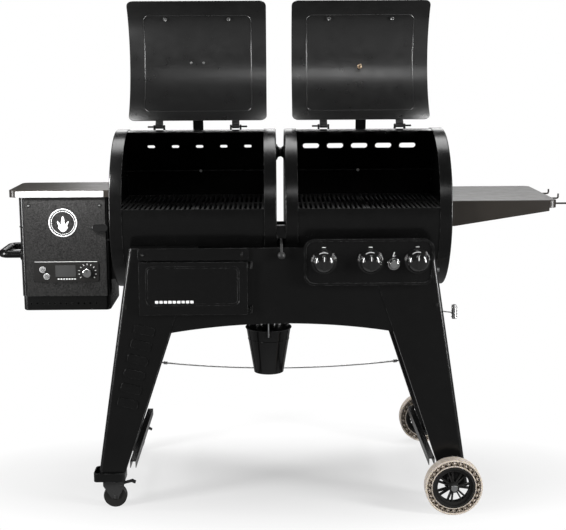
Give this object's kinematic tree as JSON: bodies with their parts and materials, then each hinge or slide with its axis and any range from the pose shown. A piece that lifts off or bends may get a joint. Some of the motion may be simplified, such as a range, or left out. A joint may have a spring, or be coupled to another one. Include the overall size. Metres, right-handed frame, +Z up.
{
  "type": "pellet smoker grill",
  "caption": "Outdoor cooker on a wheeled stand: a pellet smoker drum with a side hopper beside a gas grill drum, with lids, a side shelf and a grease bucket.",
  "frame": {"origin": "on the floor, under the middle of the whole footprint", "axes": "+X to the right as the user faces the cooker, +Y away from the user, +Z up"},
  "size_m": [1.932, 0.804, 1.6785],
  "materials": {
    "black_paint": "semi-gloss black powder coat with a fine orange peel",
    "lid_paint": "satin black high-heat paint",
    "hammered_paint": "grey-black hammered speckle",
    "shelf_paint": "warm dark grey, satin",
    "steel": "bright steel",
    "steel_dark": "dark coated steel",
    "aluminised_steel": "dull aluminised steel",
    "cast_iron": "matt porcelain coated iron",
    "chrome": "bright",
    "brass": "plain",
    "bucket_enamel": "gloss black enamel",
    "gloss_black": "gloss",
    "grey_plastic": "satin",
    "black_plastic": "satin",
    "tyre": "milky translucent moulded tread"
  },
  "bodies": {
    "cart": {"leg_front_left": "black_paint", "leg_front_right": "black_paint", "rear_legs": "black_paint", "front_apron": "black_paint", "rear_apron": "black_paint", "side_rails": "black_paint", "tie_rod": "steel", "smoker_drum": "black_paint", "gas_drum": "black_paint", "drum_ends": "black_paint", "drum_saddles": "black_paint", "barrel_spacers": "black_paint", "hinge_leaves": "black_paint", "cooking_grates": "cast_iron", "heat_deflector": "aluminised_steel", "fire_pot": "aluminised_steel", "auger_tube": "aluminised_steel", "auger_motor": "steel", "burner_tubes": "aluminised_steel", "heat_tents": "aluminised_steel", "gas_manifold": "aluminised_steel", "gas_bezel": "black_paint", "storage_box": "black_paint", "hopper_body": "black_paint", "hopper_front_panel": "hammered_paint", "hopper_base_pan": "black_paint", "hopper_handle": "black_paint", "control_panel": "black_plastic", "side_shelf": "shelf_paint", "match_holder": "steel", "bolts_and_screws": "steel"},
    "smoker_lid": {"smoker_lid": "lid_paint", "smoker_lid_handle": "black_paint"},
    "gas_lid": {"gas_lid": "lid_paint", "gas_lid_handle": "black_paint", "lid_thermometer": "brass"},
    "hopper_lid": {"hopper_lid": "shelf_paint"},
    "storage_door": {"storage_door": "black_paint"},
    "burner_knob_left": {"burner_knob_left": "gloss_black"},
    "burner_knob_middle": {"burner_knob_middle": "gloss_black"},
    "burner_knob_right": {"burner_knob_right": "gloss_black"},
    "igniter_button": {"igniter_button": "chrome"},
    "dial_knob": {"dial_knob": "chrome"},
    "power_button": {"power_button": "grey_plastic"},
    "prime_button": {"prime_button": "grey_plastic"},
    "broiler_slider": {"broiler_slider": "steel_dark"},
    "bucket_bail": {"bucket_bail": "steel"},
    "grease_bucket": {"grease_bucket": "bucket_enamel"},
    "auger": {"auger": "steel"},
    "combustion_fan": {"combustion_fan": "black_plastic"},
    "big_wheel_front": {"wheel_hub_front": "black_plastic", "wheel_tyre_front": "tyre"},
    "big_wheel_rear": {"wheel_hub_rear": "black_plastic", "wheel_tyre_rear": "tyre"},
    "caster_fork_front": {"caster_fork_front": "steel_dark"},
    "caster_fork_rear": {"caster_fork_rear": "steel_dark"},
    "caster_wheel_front": {"caster_wheel_front": "black_plastic"},
    "caster_wheel_rear": {"caster_wheel_rear": "black_plastic"},
    "caster_brake_front": {"caster_brake_front": "gloss_black"},
    "caster_brake_rear": {"caster_brake_rear": "gloss_black"}
  },
  "joints": [
    {"name": "smoker_lid_hinge", "type": "hinge", "parent": "cart", "child": "smoker_lid", "pos_m": [-0.286, 0.07351, 1.24832], "axis": [1, 0, 0], "range_deg": [0, 131]},
    {"name": "gas_lid_hinge", "type": "hinge", "parent": "cart", "child": "gas_lid", "pos_m": [0.286, 0.07351, 1.24832], "axis": [1, 0, 0], "range_deg": [0, 131]},
    {"name": "hopper_lid_hinge", "type": "hinge", "parent": "cart", "child": "hopper_lid", "pos_m": [-0.735, 0.126, 1.032], "axis": [-1, 0, 0], "range_deg": [0, 95]},
    {"name": "storage_door_hinge", "type": "hinge", "parent": "cart", "child": "storage_door", "pos_m": [-0.098, -0.322, 0.7525], "axis": [0, 0, 1], "range_deg": [0, 120]},
    {"name": "burner_knob_left_turn", "type": "hinge", "parent": "cart", "child": "burner_knob_left", "pos_m": [0.136, -0.34, 0.838], "axis": [0, -1, 0], "range_deg": [0, 125]},
    {"name": "burner_knob_middle_turn", "type": "hinge", "parent": "cart", "child": "burner_knob_middle", "pos_m": [0.286, -0.34, 0.838], "axis": [0, -1, 0], "range_deg": [0, 125]},
    {"name": "burner_knob_right_turn", "type": "hinge", "parent": "cart", "child": "burner_knob_right", "pos_m": [0.437, -0.34, 0.838], "axis": [0, -1, 0], "range_deg": [0, 125]},
    {"name": "igniter_push", "type": "slide", "parent": "cart", "child": "igniter_button", "axis": [0, 1, 0], "range_m": [0, 0.004], "stiffness_N_per_m": 400, "springref_m": -0.002},
    {"name": "dial_turn", "type": "hinge", "parent": "cart", "child": "dial_knob", "pos_m": [-0.655, -0.13, 0.771], "axis": [0, 1, 0], "range_deg": [0, 280]},
    {"name": "power_push", "type": "slide", "parent": "cart", "child": "power_button", "axis": [0, 1, 0], "range_m": [0, 0.0015], "stiffness_N_per_m": 400, "springref_m": -0.001},
    {"name": "prime_push", "type": "slide", "parent": "cart", "child": "prime_button", "axis": [0, 1, 0], "range_m": [0, 0.0015], "stiffness_N_per_m": 400, "springref_m": -0.001},
    {"name": "broiler_slide", "type": "slide", "parent": "cart", "child": "broiler_slider", "axis": [0, -1, 0], "range_m": [0, 0.07]},
    {"name": "bail_swing", "type": "hinge", "parent": "cart", "child": "bucket_bail", "pos_m": [-0.044, 0, 0.6652], "axis": [0, 1, 0], "range_deg": [-12, 12]},
    {"name": "bucket_swing", "type": "hinge", "parent": "bucket_bail", "child": "grease_bucket", "pos_m": [-0.044, 0, 0.537], "axis": [0, 1, 0], "range_deg": [-20, 20]},
    {"name": "auger_turn", "type": "hinge", "parent": "cart", "child": "auger", "pos_m": [-0.56, 0, 0.775], "axis": [1, 0, 0], "continuous": true},
    {"name": "fan_turn", "type": "hinge", "parent": "cart", "child": "combustion_fan", "pos_m": [-0.78, 0, 0.658], "axis": [0, 0, 1], "continuous": true},
    {"name": "big_wheel_front_spin", "type": "hinge", "parent": "cart", "child": "big_wheel_front", "pos_m": [0.56, -0.375, 0.0943], "axis": [0, 1, 0], "continuous": true},
    {"name": "caster_front_swivel", "type": "hinge", "parent": "cart", "child": "caster_fork_front", "pos_m": [-0.577, -0.282, 0.09], "axis": [0, 0, 1], "continuous": true},
    {"name": "caster_front_spin", "type": "hinge", "parent": "caster_fork_front", "child": "caster_wheel_front", "pos_m": [-0.562, -0.282, 0.039], "axis": [0, 1, 0], "continuous": true},
    {"name": "caster_front_brake", "type": "hinge", "parent": "caster_fork_front", "child": "caster_brake_front", "pos_m": [-0.539, -0.282, 0.08], "axis": [0, 1, 0], "range_deg": [0, 18]},
    {"name": "big_wheel_rear_spin", "type": "hinge", "parent": "cart", "child": "big_wheel_rear", "pos_m": [0.56, 0.375, 0.0943], "axis": [0, 1, 0], "continuous": true},
    {"name": "caster_rear_swivel", "type": "hinge", "parent": "cart", "child": "caster_fork_rear", "pos_m": [-0.577, 0.282, 0.09], "axis": [0, 0, 1], "continuous": true},
    {"name": "caster_rear_spin", "type": "hinge", "parent": "caster_fork_rear", "child": "caster_wheel_rear", "pos_m": [-0.562, 0.282, 0.039], "axis": [0, 1, 0], "continuous": true},
    {"name": "caster_rear_brake", "type": "hinge", "parent": "caster_fork_rear", "child": "caster_brake_rear", "pos_m": [-0.539, 0.282, 0.08], "axis": [0, 1, 0], "range_deg": [0, 18]}
  ]
}
